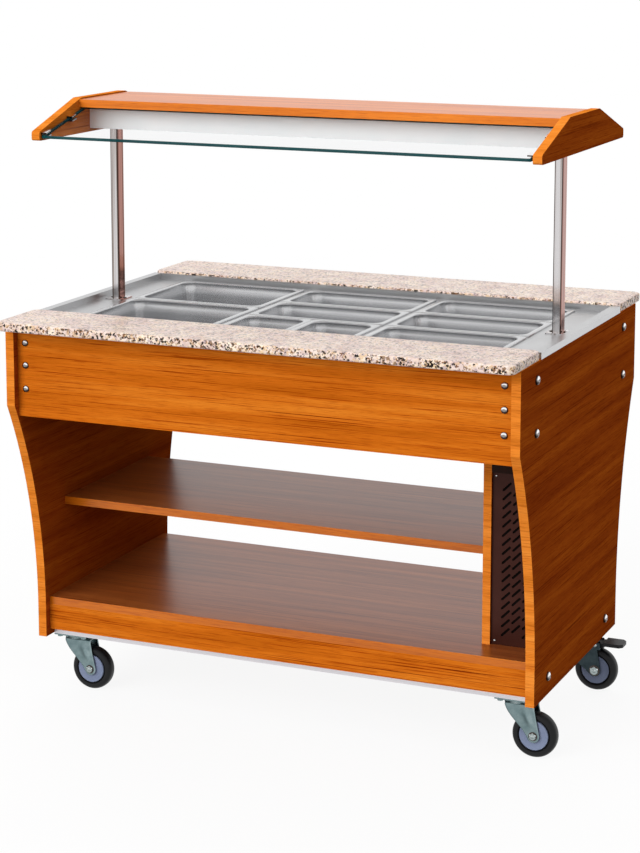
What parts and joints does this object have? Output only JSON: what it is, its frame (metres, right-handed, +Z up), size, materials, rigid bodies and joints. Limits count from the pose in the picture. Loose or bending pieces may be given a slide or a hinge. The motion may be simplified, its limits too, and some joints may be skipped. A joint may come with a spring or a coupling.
{
  "type": "heated buffet cart",
  "caption": "Wooden buffet cart on swivel casters with a heated well of lift-out food pans, stone tray slabs and a lit canopy with glass screens.",
  "frame": {"origin": "on the floor under the middle of the cart body", "axes": "+Z up, -Y towards the front, the side with the narrow grille at the right; +X to the right seen from the front"},
  "size_m": [1.28, 0.934, 1.356],
  "materials": {
    "wood": "satin orange-brown wood laminate",
    "stone": "polished speckled granite",
    "stainless": "brushed",
    "polished_steel": "polished",
    "screw_chrome": "polished",
    "zinc_steel": "zinc plated",
    "aluminium": "satin anodised",
    "powder_black": "dark powder coat",
    "white_metal": "white gloss paint",
    "opal": "opal translucent sheet",
    "glass": "clear, green edges",
    "black_plastic": "semi-gloss",
    "rocker_red": "gloss",
    "rocker_green": "gloss",
    "hub_plastic": "grey moulded",
    "tyre_rubber": "matte rubber"
  },
  "bodies": {
    "cart_body": {"side_panel_left": "wood", "side_panel_right": "wood", "front_fascia": "wood", "rear_fascia": "wood", "plinth_boards": "wood", "floor_board": "wood", "shelf": "wood", "divider": "wood", "compartment_headers": "wood", "front_tray_slab": "stone", "rear_tray_slab": "stone", "corner_brackets": "zinc_steel", "chassis_frame": "aluminium", "panel_screws": "screw_chrome", "front_grille": "powder_black", "control_panel": "powder_black", "thermostat_body": "black_plastic", "switch_bodies": "black_plastic", "cable_gland": "black_plastic", "well_tank": "stainless", "cross_bars": "stainless", "heating_element": "stainless", "canopy_posts": "polished_steel", "post_screws": "screw_chrome", "canopy_end_left": "wood", "canopy_end_right": "wood", "canopy_top": "wood", "light_housing": "white_metal", "light_diffuser": "opal", "lamp": "white_metal", "front_glass": "glass", "rear_glass": "glass", "glass_clips": "screw_chrome", "caster_plates": "zinc_steel"},
    "fork_front_left": {"fork_front_left": "zinc_steel"},
    "wheel_front_left": {"tyre_front_left": "tyre_rubber", "hub_front_left": "hub_plastic"},
    "fork_front_right": {"fork_front_right": "zinc_steel"},
    "wheel_front_right": {"tyre_front_right": "tyre_rubber", "hub_front_right": "hub_plastic"},
    "fork_rear_left": {"fork_rear_left": "zinc_steel"},
    "wheel_rear_left": {"tyre_rear_left": "tyre_rubber", "hub_rear_left": "hub_plastic"},
    "pedal_rear_left": {"brake_pedal_rear_left": "black_plastic"},
    "fork_rear_right": {"fork_rear_right": "zinc_steel"},
    "wheel_rear_right": {"tyre_rear_right": "tyre_rubber", "hub_rear_right": "hub_plastic"},
    "pedal_rear_right": {"brake_pedal_rear_right": "black_plastic"},
    "pan_half_rear": {"pan_half_rear": "stainless"},
    "pan_half_front": {"pan_half_front": "stainless"},
    "pan_third_rear": {"pan_third_rear": "stainless"},
    "pan_third_middle": {"pan_third_middle": "stainless"},
    "pan_sixth_left": {"pan_sixth_left": "stainless"},
    "pan_sixth_right": {"pan_sixth_right": "stainless"},
    "pan_end_rear": {"pan_end_rear": "stainless"},
    "pan_end_middle": {"pan_end_middle": "stainless"},
    "pan_end_front": {"pan_end_front": "stainless"},
    "thermostat_knob": {"thermostat_knob": "black_plastic"},
    "heat_switch_rocker": {"heat_switch_rocker": "rocker_red"},
    "light_switch_rocker": {"light_switch_rocker": "rocker_green"}
  },
  "joints": [
    {"name": "swivel_front_left", "type": "hinge", "parent": "cart_body", "child": "fork_front_left", "pos_m": [-0.535, -0.227, 0.1185], "axis": [0, 0, 1], "continuous": true},
    {"name": "roll_front_left", "type": "hinge", "parent": "fork_front_left", "child": "wheel_front_left", "pos_m": [-0.495, -0.227, 0.05], "axis": [0, 1, 0], "continuous": true},
    {"name": "swivel_front_right", "type": "hinge", "parent": "cart_body", "child": "fork_front_right", "pos_m": [0.535, -0.227, 0.1185], "axis": [0, 0, 1], "continuous": true},
    {"name": "roll_front_right", "type": "hinge", "parent": "fork_front_right", "child": "wheel_front_right", "pos_m": [0.575, -0.227, 0.05], "axis": [0, 1, 0], "continuous": true},
    {"name": "swivel_rear_left", "type": "hinge", "parent": "cart_body", "child": "fork_rear_left", "pos_m": [-0.535, 0.227, 0.1185], "axis": [0, 0, 1], "continuous": true},
    {"name": "roll_rear_left", "type": "hinge", "parent": "fork_rear_left", "child": "wheel_rear_left", "pos_m": [-0.575, 0.227, 0.05], "axis": [0, 1, 0], "continuous": true},
    {"name": "brake_rear_left", "type": "hinge", "parent": "fork_rear_left", "child": "pedal_rear_left", "pos_m": [-0.575, 0.227, 0.11], "axis": [0, -1, 0], "range_deg": [0, 15]},
    {"name": "swivel_rear_right", "type": "hinge", "parent": "cart_body", "child": "fork_rear_right", "pos_m": [0.535, 0.227, 0.1185], "axis": [0, 0, 1], "continuous": true},
    {"name": "roll_rear_right", "type": "hinge", "parent": "fork_rear_right", "child": "wheel_rear_right", "pos_m": [0.575, 0.227, 0.05], "axis": [0, 1, 0], "continuous": true},
    {"name": "brake_rear_right", "type": "hinge", "parent": "fork_rear_right", "child": "pedal_rear_right", "pos_m": [0.575, 0.227, 0.11], "axis": [0, 1, 0], "range_deg": [0, 15]},
    {"name": "lift_pan_half_rear", "type": "slide", "parent": "cart_body", "child": "pan_half_rear", "axis": [0, 0, 1], "range_m": [0, 0.15]},
    {"name": "lift_pan_half_front", "type": "slide", "parent": "cart_body", "child": "pan_half_front", "axis": [0, 0, 1], "range_m": [0, 0.15]},
    {"name": "lift_pan_third_rear", "type": "slide", "parent": "cart_body", "child": "pan_third_rear", "axis": [0, 0, 1], "range_m": [0, 0.15]},
    {"name": "lift_pan_third_middle", "type": "slide", "parent": "cart_body", "child": "pan_third_middle", "axis": [0, 0, 1], "range_m": [0, 0.15]},
    {"name": "lift_pan_sixth_left", "type": "slide", "parent": "cart_body", "child": "pan_sixth_left", "axis": [0, 0, 1], "range_m": [0, 0.15]},
    {"name": "lift_pan_sixth_right", "type": "slide", "parent": "cart_body", "child": "pan_sixth_right", "axis": [0, 0, 1], "range_m": [0, 0.15]},
    {"name": "lift_pan_end_rear", "type": "slide", "parent": "cart_body", "child": "pan_end_rear", "axis": [0, 0, 1], "range_m": [0, 0.15]},
    {"name": "lift_pan_end_middle", "type": "slide", "parent": "cart_body", "child": "pan_end_middle", "axis": [0, 0, 1], "range_m": [0, 0.15]},
    {"name": "lift_pan_end_front", "type": "slide", "parent": "cart_body", "child": "pan_end_front", "axis": [0, 0, 1], "range_m": [0, 0.15]},
    {"name": "thermostat_turn", "type": "hinge", "parent": "cart_body", "child": "thermostat_knob", "pos_m": [0.519, 0.2015, 0.5215], "axis": [0, -1, 0], "range_deg": [0, 270]},
    {"name": "heat_switch_rock", "type": "hinge", "parent": "cart_body", "child": "heat_switch_rocker", "pos_m": [0.5, 0.1995, 0.4415], "axis": [1, 0, 0], "range_deg": [0, 16]},
    {"name": "light_switch_rock", "type": "hinge", "parent": "cart_body", "child": "light_switch_rocker", "pos_m": [0.538, 0.1995, 0.4415], "axis": [1, 0, 0], "range_deg": [0, 16]}
  ]
}
